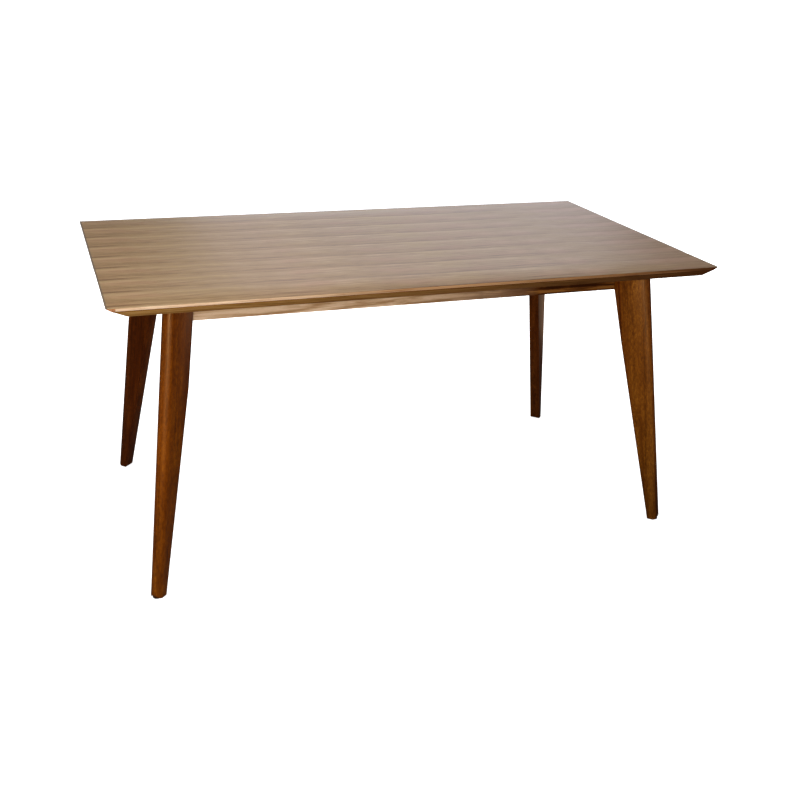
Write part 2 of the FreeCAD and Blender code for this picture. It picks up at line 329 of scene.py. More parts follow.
def leg_plank(name):
    # Made along local X, the outward diagonal, and turned into its corner afterwards
    plank = sawn(name, (-plank_splay, -plank_radius, leg_bottom), (plank_head, plank_radius, leg_top))
    shifted(plank, lambda point: point.z < leg_bottom + arris, (plank_splay, 0, 0))
    nose = [plank_head, nose_foot]
    round_edges(plank, lambda point: min(abs(point.x - edge) for edge in nose) < arris, plank_radius, 14)
    trimmed(plank, (0, 0, leg_top), (-1, 0, 0))
    taper = Vector((leg_bottom - apron_bottom, 0, -inner_foot))
    trimmed(plank, (0, 0, apron_bottom), taper)
    # The wedge runs parallel to the outer edge, so the taper cuts it away further down
    cheek = (plank_thickness - tongue_thickness) / 2
    for side in (-1, 1):
        thinning = Vector((leg_run.z * cheek, -side * leg_run.z * wedge_length, -leg_run.x * cheek))
        trimmed(plank, (wedge_length, side * plank_radius, apron_bottom), thinning)
    round_edges(plank, lambda point: point.z < leg_bottom + arris, foot_round, 8)
    eased(plank, arris, 3, 12)
    tongue = sawn("tongue", (-tongue_length, -tongue_thickness / 2, apron_bottom),
                  (arris * 2, tongue_thickness / 2, leg_top))
    only(plank)
    tongue.select_set(True)
    bpy.ops.object.join()
    return plank


def edge_reach(point):
    # How far a point of a plank lies outwards of the wedge's shoulder and of the taper, and from its middle
    drop = apron_bottom - point.z
    shoulder = wedge_length + drop * plank_splay / (leg_top - leg_bottom)
    taper_edge = drop * inner_foot / (apron_bottom - leg_bottom)
    return point.x - shoulder, point.x - taper_edge, point.y


# The tone of each plank at the top, and the share of it that is left at the foot. Both carry painted shade:
# the back planks are darker, and each plank is lightened or darkened towards its foot as the light falls.
shaded_plank_tones = {
    "front_left": ((0.98, 0.7, 0.12), 1.12),
    "front_right": ((1.36, 1.16, 0.55), 0.52),
    "back_left": ((0.53, 0.3, 0.12), 1.1),
    "back_right": ((0.6, 0.37, 0.26), 0.85),
}
pattern_plank = leg_plank("pattern_plank")
for number, (corner, (side_x, side_y)) in enumerate(corners.items()):
    leg = pattern_plank.copy()
    leg.data = pattern_plank.data.copy()
    leg.name = "plank_leg_" + corner
    bpy.context.scene.collection.objects.link(leg)
    marked(leg, leg_run, leg_across, (0, 1, 0), (0.98 * number - 0.08, 0.13 * number, 0.21 * number + 0.05))
    noted(leg, "edge_reach", edge_reach)
    tone_and_shade, foot_shade_share = shaded_plank_tones[corner]
    noted(leg, "shaded_plank_tone",
          lambda point: Vector(tone_and_shade) * (foot_shade_share + (1 - foot_shade_share) * point.z / leg_top))
    leg.location = (side_x * corner_x, side_y * corner_y, 0)
    leg.rotation_euler = (0, 0, math.atan2(side_y, side_x))
    only(leg)
    bpy.ops.object.transform_apply(location=True, rotation=True, scale=True)
    fitted(leg, leg_finish, "leg_wood", "leg_" + corner)
bpy.data.objects.remove(pattern_plank)


# Glides: four dark brown moulded plastic discs under the feet. Each is pressed into a shallow recess and
# nailed through the middle.
glide_radius = 0.011
glide_height = 0.003
glide_edge = 0.0008
nail_recess = 0.0022
nail_depth = 0.0011
glide_place = nose_foot - foot_depth / 2


def turned(name, outline, sides=32):
    # Turned on the lathe: the outline is given as steps of radius and height, and is spun round the Z axis
    bpy.ops.object.select_all(action="DESELECT")
    bpy.ops.mesh.primitive_plane_add(size=0.01)
    piece = bpy.context.object
    piece.name = name
    bpy.ops.object.mode_set(mode="EDIT")
    bpy.ops.mesh.select_mode(type="VERT")
    bpy.ops.mesh.merge(type="CENTER")
    bpy.ops.transform.translate(value=(outline[0][0], 0, outline[0][1]))
    for (radius, height), (next_radius, next_height) in zip(outline, outline[1:]):
        step = (next_radius - radius, 0, next_height - height)
        bpy.ops.mesh.extrude_region_move(TRANSFORM_OT_translate={"value": step})
    bpy.ops.mesh.select_all(action="SELECT")
    bpy.ops.mesh.spin(steps=sides, angle=math.tau, center=(0, 0, 0), axis=(0, 0, 1))
    bpy.ops.mesh.select_all(action="SELECT")
    bpy.ops.mesh.remove_doubles(threshold=0.00001)
    bpy.ops.mesh.normals_make_consistent(inside=False)
    bpy.ops.object.mode_set(mode="OBJECT")
    bpy.ops.object.shade_smooth_by_angle(angle=math.radians(smooth_angle))
    return piece


def set_out(name, pattern, places):
    # Copies a pattern to each place, with its Z axis turned to the direction there, and joins the copies
    copies = []
    for place, direction in places:
        copy = pattern.copy()
        copy.data = pattern.data.copy()
        bpy.context.scene.collection.objects.link(copy)
        copy.location = place
        copy.rotation_euler = Vector(direction).to_track_quat("Z", "Y").to_euler()
        copies.append(copy)
    bpy.data.objects.remove(pattern)
    only(copies[0])
    for copy in copies:
        copy.select_set(True)
    bpy.ops.object.transform_apply(location=True, rotation=True, scale=True)
    bpy.ops.object.join()
    copies[0].name = name
    return copies[0]


def on_diagonal(reach, side_x, side_y, height):
    # A point on a corner's diagonal, reach outwards from the leg's inner edge
    offset = reach / math.sqrt(2)
    return Vector((side_x * (corner_x + offset), side_y * (corner_y + offset), height))


glide_finish, tree, surface = new_finish("moulded_plastic")
place = object_place(tree)
mottle = stretched_noise(tree, place, (90, 90, 90), detail=3)
speckle = stretched_noise(tree, place, (2400, 2400, 2400), detail=2)
brown = tone_steps(tree, mottle, [(0.3, (0.035, 0.013, 0.006)), (0.7, (0.065, 0.026, 0.011))])
gloss = sums(tree, "MULTIPLY_ADD", mottle, 0.25, 0.35)
lacquered(tree, surface, brown, gloss, speckle, 0.0002, 0.4)

glide_outline = [
    (0, nail_depth), (nail_recess - glide_edge / 2, nail_depth), (nail_recess, nail_depth - glide_edge / 2),
    (nail_recess, glide_edge / 4), (nail_recess + glide_edge / 4, 0), (glide_radius - glide_edge, 0),
    (glide_radius - glide_edge / 3, glide_edge / 3), (glide_radius, glide_edge), (glide_radius, glide_height),
    (0, glide_height),
]
glide = turned("glide", glide_outline, 48)
glide_places = [(on_diagonal(glide_place, *sides, 0), (0, 0, 1)) for sides in corners.values()]
glides = set_out("moulded_glides", glide, glide_places)
fitted(glides, glide_finish, "glide_plastic", "foot_glides")


# Aprons: four boards on edge, mitred at the ends against the tongues of the legs. Their faces are veneered
# with flat-cut walnut, whose arched figure shows along the front, and the lower arrises are lightly eased.
apron_arris = 0.001
board_step = 0.12
figure_middle = 0.70
apron_finish, tree, surface = new_finish("apron_figure")
place = board_place(tree)
drift = stretched_noise(tree, place, (1.1, 6, 6), detail=3)
height = sums(tree, "MULTIPLY_ADD", drift, 0.16, split(tree, place)["Y"])
waves = sums(tree, "SINE", sums(tree, "MULTIPLY", height, 300.0))
flames = stretched_noise(tree, place, (3.4, 42, 42), detail=6, roughness=0.6, distortion=1.1)
lines = stretched_noise(tree, place, (6, 300, 300), detail=6, roughness=0.65)
figure = sums(tree, "MULTIPLY_ADD", waves, 0.16, sums(tree, "MULTIPLY_ADD", flames, 2.8, -1.3))
figure = sums(tree, "MULTIPLY_ADD", lines, 0.8, figure, clamp=True)
pale_wood = tone_steps(tree, figure, [(0.15, (0.42, 0.23, 0.105)), (0.45, (0.63, 0.395, 0.225)),
                                      (0.75, (0.79, 0.545, 0.345))])
brown_wood = tone_steps(tree, figure, [(0.2, (0.045, 0.01, 0.0015)), (0.48, (0.13, 0.038, 0.006)),
                                       (0.75, (0.31, 0.115, 0.022))])
# Pale at the left end and brown at the right: partly the wood, partly painted shade from the light's fall-off
brown_and_shade_share = sums(tree, "MULTIPLY_ADD", drift, 0.9, -0.32)
brown_and_shade_share = sums(tree, "MULTIPLY_ADD", split(tree, place)["X"], 2.7, brown_and_shade_share, clamp=True)
wood = blended(tree, brown_and_shade_share, pale_wood, brown_wood)
pores = stretched_noise(tree, place, (70, 1400, 1400), detail=2)
pore_tint = tone_steps(tree, pores, [(0.3, (0.7, 0.64, 0.56)), (0.44, (1, 1, 1))])
wood = tinted(tree, 0.6, wood, pore_tint)
gloss = sums(tree, "MULTIPLY_ADD", lines, 0.15, 0.36)
lacquered(tree, surface, wood, gloss, sums(tree, "ADD", lines, pores), 0.0004, 0.1, (1, 0.68, 0.32))

apron_sides = {
    "front": ((0, -1, 0), (1, 0, 0)),
    "back": ((0, 1, 0), (1, 0, 0)),
    "left": ((-1, 0, 0), (0, 1, 0)),
    "right": ((1, 0, 0), (0, 1, 0)),
}
for number, (side, (outwards, run)) in enumerate(apron_sides.items()):
    low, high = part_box("apron_" + side)
    board = sawn("board_apron_" + side, low, high)
    inner = ((low + high) / 2).dot(Vector(outwards))
    for end in (-1, 1):
        # The inner corners go in by the board's thickness, which leaves a mitre of 45 degrees
        shifted(board,
                lambda point: point.dot(Vector(outwards)) < inner and point.dot(Vector(run)) * end > 0,
                Vector(run) * -end * apron_thickness)
    eased(board, apron_arris, 2)
    marked(board, run, (0, 0, 1), outwards, (board_step * number, -figure_middle, 0))
    fitted(board, apron_finish, "apron_wood", "apron_" + side)


# Corner blocks: triangular hardwood blocks glued and screwed into the corners of the aprons, sawn off one
# batten, so that their grain stands upright. The bored faces are left unpolished.
block_side = 0.060
block_drop = 0.005
block_height = 0.060
block_face = -tongue_length - block_side / math.sqrt(2)
fixing_height = leg_top - block_drop - block_height / 2


def raw_wood(name, scales, tones, gloss_level=0.62):
    # Unpolished wood, with its grain along the axis whose scale is the smallest
    material, tree, surface = new_finish(name)
    place = object_place(tree)
    bands = stretched_noise(tree, place, [scale * 0.35 for scale in scales], detail=3, distortion=0.4)
    lines = stretched_noise(tree, place, [scale * 3 for scale in scales], detail=5, roughness=0.6)
    pores = stretched_noise(tree, place, [scale * 9 for scale in scales], detail=2)
    amount = sums(tree, "MULTIPLY_ADD", bands, 0.6, sums(tree, "MULTIPLY", lines, 0.4), clamp=True)
    wood = tone_steps(tree, amount, tones)
    pore_tint = tone_steps(tree, pores, [(0.32, (0.72, 0.68, 0.62)), (0.45, (1, 1, 1))])
    wood = tinted(tree, 0.6, wood, pore_tint)
    gloss = sums(tree, "MULTIPLY_ADD", lines, 0.2, gloss_level)
    lacquered(tree, surface, wood, gloss, sums(tree, "ADD", lines, pores), 0.0006, 0.3)
    return material


def dressed(node, material):
    # Gives a CAD node its finish and leaves its shape alone
    for material_slot in bpy.data.objects[node].material_slots:
        material_slot.material = material


beech_tones = [(0.3, (0.36, 0.2, 0.1)), (0.5, (0.48, 0.3, 0.16)), (0.7, (0.58, 0.39, 0.23))]
block_finish = raw_wood("block_wood", (120, 120, 4), beech_tones)
for corner in corners:
    dressed("corner_block_" + corner, block_finish)


# Block screws: zinc-plated countersunk screws with a cross recess. One goes from each block into each of the
# two aprons, with its head at the bottom of a counterbore.
screw_head = 0.0042
screw_core = 0.0017
screw_thread = 0.00225
screw_head_height = 0.0025
screw_length = 0.030
screw_pitch = 0.0018
screw_grip = 0.015
screw_offset = 0.035


def metal_finish(name, dull, bright, roughness):
    # Plated steel: a thin cloudy plating with fine marks of wear
    material, tree, surface = new_finish(name)
    place = object_place(tree)
    clouds = stretched_noise(tree, place, (260, 260, 260), detail=4)
    marks = stretched_noise(tree, place, (900, 900, 3500), detail=3, roughness=0.7)
    plating = tone_steps(tree, clouds, [(0.32, dull), (0.6, bright)])
    mark_tint = tone_steps(tree, marks, [(0.34, (0.72, 0.71, 0.7)), (0.5, (1, 1, 1))])
    plating = tinted(tree, 0.6, plating, mark_tint)
    gloss = sums(tree, "MULTIPLY_ADD", clouds, 0.3, roughness)
    lacquered(tree, surface, plating, gloss, marks, 0.0001)
    surface.inputs["Metallic"].default_value = 1.0
    return material


def cut_with(piece, cutter, operation):
    # Takes the cutter out of a piece, or keeps only what lies inside it
    only(piece)
    bpy.ops.object.modifier_add(type="BOOLEAN")
    change = piece.modifiers[-1]
    change.operation = operation
    change.solver = "EXACT"
    change.object = cutter
    bpy.ops.object.modifier_apply(modifier=change.name)
    bpy.data.objects.remove(cutter)
    bpy.ops.object.shade_smooth_by_angle(angle=math.radians(smooth_angle))
    return piece


def wood_screw(name, head, core, thread, head_height, length, pitch):
    # Turned with ridges for its thread, and a cross recess cut into the head
    outline = [(0, 0), (head * 0.96, 0), (head, head * 0.04), (core, head_height)]
    height = head_height + pitch
    while height < length - pitch * 2:
        outline += [(core, height), (thread, height + pitch * 0.3), (thread, height + pitch * 0.4),
                    (core, height + pitch * 0.7)]
        height += pitch
    outline += [(core, length - pitch * 1.6), (core * 0.2, length), (0, length)]
    screw = turned(name, outline, 20)
    arm_reach = head * 0.56
    arm_width = head * 0.13
    arm_taper = head * 0.34
    for turn in (0, 1):
        arm = sawn("recess_arm", (-arm_reach, -arm_width, -head_height),
                   (arm_reach, arm_width, head_height * 0.8))
        for end in (-1, 1):
            shifted(arm, lambda point: point.z > 0 and point.x * end > 0, (-end * arm_taper, 0, 0))
        arm.rotation_euler = (0, 0, turn * math.pi / 2)
        cut_with(screw, arm, "DIFFERENCE")
    return screw


screw_finish = metal_finish("zinc_plating", (0.5, 0.51, 0.53), (0.74, 0.75, 0.77), 0.2)
block_screw = wood_screw("block_screw", screw_head, screw_core, screw_thread, screw_head_height,
                         screw_length, screw_pitch)
long_inside = corner_y + tongue_offset - apron_thickness
end_inside = corner_x + tongue_offset - apron_thickness
long_run = corner_x - tongue_offset - apron_thickness - screw_offset
end_run = corner_y - tongue_offset - apron_thickness - screw_offset
head_inset = screw_grip + screw_head_height
screw_places = []
for side_x, side_y in corners.values():
    long_place = (side_x * long_run, side_y * (long_inside - head_inset), fixing_height)
    end_place = (side_x * (end_inside - head_inset), side_y * end_run, fixing_height)
    screw_places += [(long_place, (0, side_y, 0)), (end_place, (side_x, 0, 0))]
screws = set_out("countersunk_block_screws", block_screw, screw_places)
fitted(screws, screw_finish, "zinc_screws", "block_screws")


# Leg bolts: two M8 hanger bolts to a leg, of steel with a yellowish plating. They go through the corner block
# into the plank, with a washer and a nut on the inside of the block.
bolt_radius = 0.004
bolt_root = 0.0034
bolt_pitch = 0.00125
bolt_spacing = 0.030
bolt_bite = 0.045
bolt_tail = 0.004
thread_turns = 14
washer_radius = 0.011
washer_thickness = 0.0016
washer_edge = 0.0003
nut_across = 0.013
nut_thickness = 0.0065
nut_chamfer = 0.0008
bore_radius = 0.0042

bolt_start = -washer_thickness - nut_thickness - bolt_tail
bolt_outline = [(0, bolt_start), (bolt_root * 0.9, bolt_start), (bolt_root, bolt_start + bolt_pitch * 0.3)]
height = bolt_start + bolt_pitch * 0.5
for number in range(thread_turns):
    bolt_outline += [(bolt_root, height), (bolt_radius, height + bolt_pitch * 0.4),
                     (bolt_radius, height + bolt_pitch * 0.55), (bolt_root, height + bolt_pitch * 0.95)]
    height += bolt_pitch
bolt_tip = tongue_length + block_side / math.sqrt(2) + bolt_bite
bolt_outline += [(bolt_root, height), (bolt_root, bolt_tip - bolt_pitch), (bolt_root * 0.7, bolt_tip),
                 (0, bolt_tip)]
bolt = turned("bolt", bolt_outline, 28)


def ring(inner, outer, low, high, edge, flat):
    # The outline of a ring whose edges are taken off, and whose faces are flat out to a radius
    return [(inner, low + edge), (inner + edge, low), (flat, low), (outer, low + edge), (outer, high - edge),
            (flat, high), (inner + edge, high), (inner, high - edge), (inner, low + edge)]


washer_outline = ring(bolt_radius + washer_edge, washer_radius, -washer_thickness, 0, washer_edge,
                      washer_radius - washer_edge)
washer = turned("washer", washer_outline, 40)
nut_corner = nut_across / 2 / math.cos(math.pi / 6)
nut_face = -washer_thickness - nut_thickness
nut_outline = ring(bore_radius, nut_corner * 0.985, nut_face, -washer_thickness, nut_chamfer,
                   nut_across / 2 - nut_chamfer / 4)
nut = turned("nut", nut_outline, 60)
bpy.ops.object.select_all(action="DESELECT")
bpy.ops.mesh.primitive_cylinder_add(vertices=6, radius=nut_corner, depth=nut_thickness * 3,
                                    location=(0, 0, nut_face), rotation=(0, 0, math.pi / 6))
cut_with(nut, bpy.context.object, "INTERSECT")

bolt_finish = metal_finish("yellow_plating", (0.46, 0.4, 0.24), (0.72, 0.64, 0.42), 0.22)
bolt_places = []
for side_x, side_y in corners.values():
    for level in (-1, 1):
        seat = on_diagonal(block_face, side_x, side_y, fixing_height + level * bolt_spacing / 2)
        bolt_places.append((seat, (side_x, side_y, 0)))
for name, pattern, node in (("hanger_bolts", bolt, "leg_bolts"), ("plated_washers", washer, "bolt_washers"),
                            ("hexagon_nuts", nut, "bolt_nuts")):
    group = set_out(name, pattern, bolt_places)
    fitted(group, bolt_finish, "zinc_bolts", node)


# Cross rail: a planed hardwood rail, left unpolished. It is tenoned into the long aprons at the middle of the
# table and keeps them from bowing.
rail_tones = [(0.3, (0.26, 0.13, 0.058)), (0.5, (0.36, 0.2, 0.1)), (0.7, (0.45, 0.28, 0.15))]
rail_finish = raw_wood("rail_wood", (110, 3.5, 110), rail_tones)
dressed("cross_rail", rail_finish)


# Buttons: small hardwood blocks with a tongue in a slot of the apron and a zinc-plated screw up into the top.
# They hold the top down and let it move with the seasons.
button_finish = raw_wood("button_wood", (130, 130, 5), beech_tones)
dressed("top_buttons", button_finish)

button_screw_head = 0.004
button_screw_core = 0.0015
button_screw_thread = 0.002
button_screw_head_height = 0.0024
button_screw_length = 0.029
button_screw_pitch = 0.0016
button_depth = 0.030
button_height = 0.018
button_shares = (0.22, 0.66)
button_screw = wood_screw("button_screw", button_screw_head, button_screw_core, button_screw_thread,
                          button_screw_head_height, button_screw_length, button_screw_pitch)
head_height = leg_top - button_height
long_end = corner_x - tongue_offset
button_places = []
for side in (-1, 1):
    button_places.append(((side * (end_inside - button_depth / 2), 0, head_height), (0, 0, 1)))
    for share in button_shares:
        for side_y in (-1, 1):
            place = (side * share * long_end, side_y * (long_inside - button_depth / 2), head_height)
            button_places.append((place, (0, 0, 1)))
button_screws = set_out("countersunk_button_screws", button_screw, button_places)
fitted(button_screws, screw_finish, "zinc_screws", "button_screws")


# Inside of the top: two layers of pressed board, glued together, and a plain balancing veneer glued on
# underneath, which keeps them flat.
board_tones = [(0.35, (0.34, 0.24, 0.15)), (0.5, (0.42, 0.31, 0.2)), (0.65, (0.5, 0.38, 0.26))]
board_finish = raw_wood("board_core", (240, 240, 240), board_tones, 0.7)
for node in ("lower_core_board", "upper_core_board"):
    dressed(node, board_finish)
under_tones = [(0.3, (0.3, 0.17, 0.085)), (0.5, (0.4, 0.25, 0.135)), (0.7, (0.48, 0.32, 0.185))]
under_finish = raw_wood("balancing_leaf", (2.2, 110, 30), under_tones, 0.5)
dressed("underside_veneer", under_finish)


# Tabletop face: eight walnut veneer leaves, slip-matched, so that each repeats the figure of its neighbour.
# Each runs from pale sapwood at its back edge to darker heartwood at its front edge. They are glued down with
# tight joints, eased at the outer arrises only, and lacquered matt.
leaf_arris = 0.0004
edge_line = 0.0045
leaf_slip = 0.004
leaf_change = 0.03
top_finish, tree, surface = new_finish("slip_matched_veneer")
place = board_place(tree)
parts = split(tree, place)
leaf_low, leaf_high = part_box("veneer_leaf_1")
leaf_width = leaf_high.y - leaf_low.y
wander = stretched_noise(tree, place, (1.5, 5, 1), detail=3)
right_share = sums(tree, "MULTIPLY_ADD", parts["X"], 0.64, 0.5, clamp=True)
bend_depth = sums(tree, "MULTIPLY_ADD", right_share, 0.07, 0.012)
across_leaf = sums(tree, "ADD", parts["Y"], sums(tree, "MULTIPLY", off_middle(tree, wander), bend_depth))
share = sums(tree, "DIVIDE", across_leaf, leaf_width)
streaks = stretched_noise(tree, place, (3.4, 64, 1), detail=8, roughness=0.75, distortion=0.35)
flames = stretched_noise(tree, place, (8.5, 52, 1), detail=5, roughness=0.65, distortion=1.5, shift=(1, 0, 0))
breaks = stretched_noise(tree, place, (6, 12, 1), detail=4, roughness=0.6, shift=(2, 7, 0))
fine = stretched_noise(tree, place, (14, 620, 1), detail=4, roughness=0.65)
gradient_depth = sums(tree, "MULTIPLY_ADD", right_share, -0.3, 0.46)
amount = sums(tree, "MULTIPLY_ADD", off_middle(tree, share), gradient_depth, 0.5)
seam = tone_steps(tree, share, [(0.0, (0, 0, 0)), (0.07, (0.75, 0.75, 0.75)), (0.16, (1, 1, 1))])
seam_line = sums(tree, "SUBTRACT", 1.0, seam)
dark_share = sums(tree, "MULTIPLY_ADD", right_share, 3.0, -0.5, clamp=True)
dark_depth = sums(tree, "MULTIPLY", dark_share, sums(tree, "MULTIPLY_ADD", breaks, 1.6, -0.45, clamp=True))
light_depth = sums(tree, "MULTIPLY_ADD", right_share, -0.8, 0.36, clamp=True)
seam_depth = sums(tree, "MULTIPLY_ADD", dark_depth, -0.42, light_depth)
amount = sums(tree, "MULTIPLY_ADD", seam_line, seam_depth, amount)
streak_depth = sums(tree, "MULTIPLY_ADD", right_share, -0.9, 2.6)
amount = sums(tree, "MULTIPLY_ADD", off_middle(tree, streaks), streak_depth, amount)
amount = sums(tree, "MULTIPLY_ADD", off_middle(tree, flames), 1.1, amount, clamp=True)
wood = tone_steps(tree, amount, [(0.1, (0.158, 0.086, 0.034)), (0.38, (0.237, 0.144, 0.067)),
                                 (0.62, (0.285, 0.185, 0.092)), (0.9, (0.345, 0.235, 0.128))])
hue = stretched_noise(tree, place, (5, 14, 1), detail=4, shift=(5, 2, 0))
hue_tint = tone_steps(tree, hue, [(0.36, (0.98, 0.975, 0.86)), (0.5, (1, 1, 1)), (0.64, (1.06, 0.98, 1.06))])
wood = tinted(tree, 0.9, wood, hue_tint)
length_tint = tone_steps(tree, right_share, [(0.0, (0.9, 0.875, 0.74)), (0.3, (1.01, 0.985, 0.99)),
                                             (0.62, (1, 1, 1)), (1.0, (0.955, 0.925, 1.02))])
wood = tinted(tree, 1.0, wood, length_tint)
fine_tint = tone_steps(tree, fine, [(0.3, (0.76, 0.72, 0.67)), (0.48, (1, 1, 1)), (0.7, (1.08, 1.09, 1.11))])
wood = tinted(tree, 0.9, wood, fine_tint)
whole = split(tree, object_place(tree))
# Painted shade: a dark line along the back edge and the ends of the top, where the arris falls into shade
end_edge_shade = sums(tree, "GREATER_THAN", sums(tree, "ABSOLUTE", whole["X"]), cad_high.x - edge_line)
back_edge_shade = sums(tree, "GREATER_THAN", whole["Y"], cad_high.y - edge_line * 1.6)
edge_shade = sums(tree, "MULTIPLY", sums(tree, "MAXIMUM", end_edge_shade, back_edge_shade), 0.8)
wood = blended(tree, edge_shade, wood, (0.1, 0.07, 0.045))
gloss = sums(tree, "MULTIPLY_ADD", streaks, 0.12, 0.42)
lacquered(tree, surface, wood, gloss, sums(tree, "ADD", fine, streaks), 0.0002, 0.5)

side_line = cad_high.y - leaf_arris
leaf_names = sorted(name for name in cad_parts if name.startswith("veneer_leaf"))
for number, name in enumerate(leaf_names):
    low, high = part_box(name)
    leaf = sawn("walnut_leaf_" + str(number + 1), low, high)
    end_line = high.x - leaf_arris
    for side in (-1, 1):
        round_edges(leaf, lambda point: point.z > high.z - leaf_arris and point.x * side > end_line,
                    leaf_arris, 3)
        if (high.y if side > 0 else -low.y) > side_line:
            round_edges(leaf, lambda point: point.z > high.z - leaf_arris * 2 and point.y * side > side_line,
                        leaf_arris, 3)
    bpy.ops.object.shade_smooth_by_angle(angle=math.radians(smooth_angle))
    # Each leaf repeats the figure of the last one, slipped along a little and slightly changed
    marked(leaf, (1, 0, 0), (0, 1, 0), (0, 0, 1),
           (leaf_slip * number, -low.y, leaf_change * number - high.z))
    fitted(leaf, top_finish, "face_veneer", name)


# Edge of the top: pale hardwood lippings, glued round the upper board and lacquered. The end lippings run
# through, so their end grain shows at the tips of the long edges, and they are planed under with the bevel of
# the ends.
edge_arris = 0.0007
end_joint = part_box("edge_lipping_right")[0].x
lipping_finish, tree, surface = new_finish("pale_edge_wood")
place = board_place(tree)
bands = stretched_noise(tree, place, (1.3, 60, 60), detail=3)
lines = stretched_noise(tree, place, (5, 600, 600), detail=5, roughness=0.6)
whole = split(tree, object_place(tree))
# Darker towards the right end: partly heartwood, partly painted shade from the light's fall-off
heartwood_and_shade = sums(tree, "MULTIPLY_ADD", whole["X"], 0.66, 0.4, clamp=True)
amount = sums(tree, "MULTIPLY_ADD", off_middle(tree, bands), 0.5, heartwood_and_shade)
amount = sums(tree, "MULTIPLY_ADD", off_middle(tree, lines), -0.35, amount, clamp=True)
wood = tone_steps(tree, amount, [(0.0, (0.65, 0.45, 0.29)), (0.22, (0.4, 0.23, 0.12)),
                                 (0.4, (0.42, 0.22, 0.1)), (0.74, (0.29, 0.132, 0.048)),
                                 (0.87, (0.12, 0.04, 0.01)), (1.0, (0.085, 0.026, 0.006))])
line_tint = tone_steps(tree, lines, [(0.32, (0.72, 0.55, 0.42)), (0.48, (1, 1, 1)), (0.7, (1.06, 1.08, 1.1))])
wood = tinted(tree, 0.7, wood, line_tint)
ribbons = stretched_noise(tree, place, (13, 260, 260), detail=4, roughness=0.7, distortion=0.6)
ribbon_tint = tone_steps(tree, ribbons, [(0.34, (0.6, 0.42, 0.3)), (0.5, (1, 1, 1)),
                                         (0.66, (1.12, 1.14, 1.16))])
wood = tinted(tree, 0.75, wood, ribbon_tint)
at_end = sums(tree, "GREATER_THAN", sums(tree, "ABSOLUTE", whole["X"]), end_joint)
at_side = sums(tree, "GREATER_THAN", sums(tree, "ABSOLUTE", whole["Y"]), cad_high.y - edge_arris)
end_grain = tinted(tree, 1.0, wood, (0.62, 0.4, 0.27))
wood = blended(tree, sums(tree, "MULTIPLY", at_end, at_side), wood, end_grain)
gloss = sums(tree, "MULTIPLY_ADD", lines, 0.15, 0.35)
lacquered(tree, surface, wood, gloss, lines, 0.0003, 0.18, (1, 0.75, 0.5))

strip_low, strip_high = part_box("edge_strip_right")
lip_height = 0.003
end_inset = 0.045
bevel_top = cad_high.z - lip_height
bevel_start = Vector((cad_high.x, 0, bevel_top))
end_bevel = Vector((bevel_top - strip_low.z, 0, -end_inset))
for side, name in ((1, "right"), (-1, "left")):
    low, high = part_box("edge_lipping_" + name)
    lipping = sawn("end_lipping_" + name, low, high)
    flipped = Vector((side, 1, 1))
    trimmed(lipping, bevel_start * flipped, end_bevel * flipped)
    eased(lipping, edge_arris, 2)
    marked(lipping, (0, 1, 0), (0, 0, 1), (1, 0, 0), (0.3 * side, 0, 0))
    fitted(lipping, lipping_finish, "pale_lipping", "edge_lipping_" + name)
for name in ("front", "back"):
    low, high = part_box("edge_lipping_" + name)
    lipping = sawn("long_lipping_" + name, low, high)
    eased(lipping, edge_arris, 2)
    marked(lipping, (1, 0, 0), (0, 0, 1), (0, 1, 0))
    fitted(lipping, lipping_finish, "pale_lipping", "edge_lipping_" + name)


# Lower edge: darker hardwood strips glued round the lower board, under the lippings. The side strips run
# through, with a slight bevel underneath, and the end strips have a long one. They are stained and lacquered.
strip_finish, tree, surface = new_finish("stained_strip")
place = board_place(tree)
bands = stretched_noise(tree, place, (2, 70, 70), detail=3)
lines = stretched_noise(tree, place, (9, 300, 300), detail=6, roughness=0.75)
amount = sums(tree, "MULTIPLY_ADD", bands, 0.5, sums(tree, "MULTIPLY_ADD", lines, 1.3, -0.4), clamp=True)
wood = tone_steps(tree, amount, [(0.3, (0.16, 0.068, 0.014)), (0.5, (0.265, 0.13, 0.034)),
                                 (0.7, (0.35, 0.19, 0.06))])
whole = split(tree, object_place(tree))
front_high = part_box("edge_strip_front")[1]
glue_line = sums(tree, "GREATER_THAN", whole["Z"], front_high.z - edge_arris * 1.6)
wood = blended(tree, glue_line, wood, tinted(tree, 1.0, wood, (0.62, 0.4, 0.3)))
# Darker towards the right end: partly the stain, partly painted shade from the light's fall-off
darker_and_shade_share = sums(tree, "MULTIPLY_ADD", whole["X"], 0.68, 0.5, clamp=True)
wood = blended(tree, darker_and_shade_share, wood, tinted(tree, 1.0, wood, (0.3, 0.17, 0.1)))
gloss = sums(tree, "MULTIPLY_ADD", lines, 0.15, 0.36)
lacquered(tree, surface, wood, gloss, lines, 0.0004, 0.15, (1, 0.7, 0.4))

